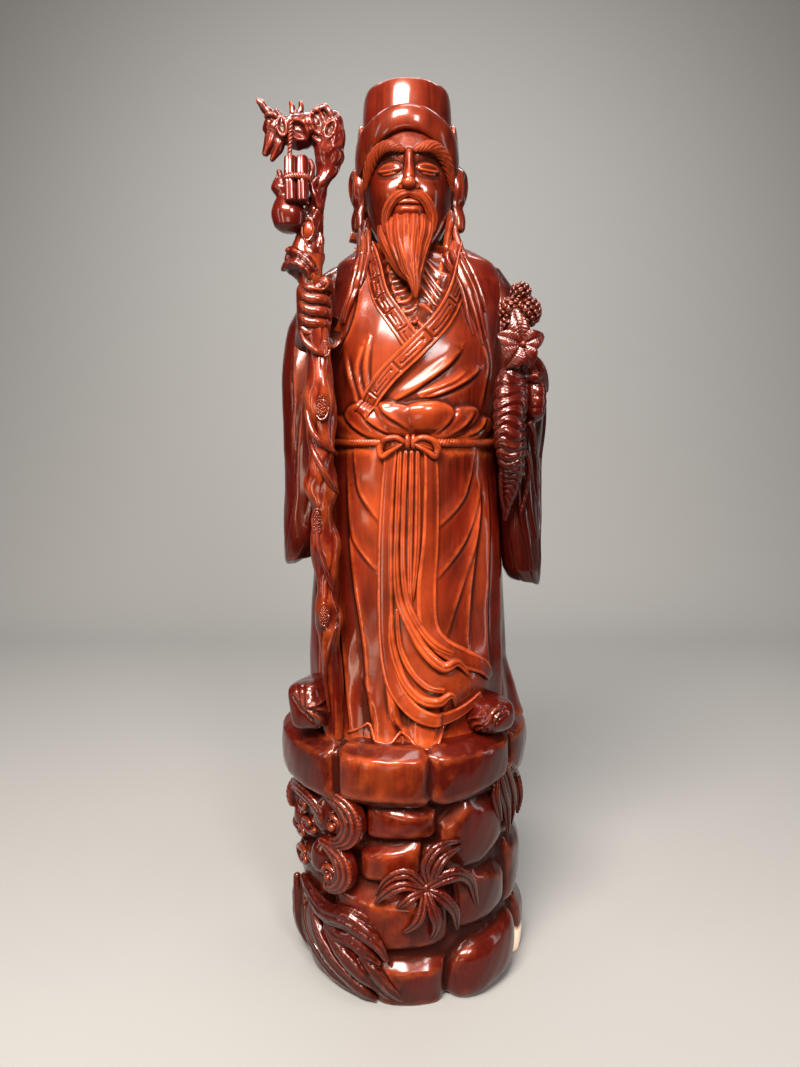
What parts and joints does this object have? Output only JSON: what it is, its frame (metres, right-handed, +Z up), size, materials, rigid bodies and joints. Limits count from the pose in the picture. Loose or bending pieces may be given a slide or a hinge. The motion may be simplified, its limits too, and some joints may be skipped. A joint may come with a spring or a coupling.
{
  "type": "carved rosewood physician figure",
  "caption": "One-piece rosewood carving of a bearded physician in a robe and cap, with dragon staff and ginseng plant, standing on a drum of rocks.",
  "frame": {"origin": "middle of the flat underside of the rock base, on the surface that it stands on", "axes": "+Z up, along the height; -Y is the way that the figure faces; +X is the figure's left, where the plant is"},
  "size_m": [0.3056, 0.2883, 0.99],
  "materials": {
    "rosewood": "polished and lacquered, glossy"
  },
  "bodies": {
    "root": {"physician_carving": "rosewood"}
  },
  "joints": []
}
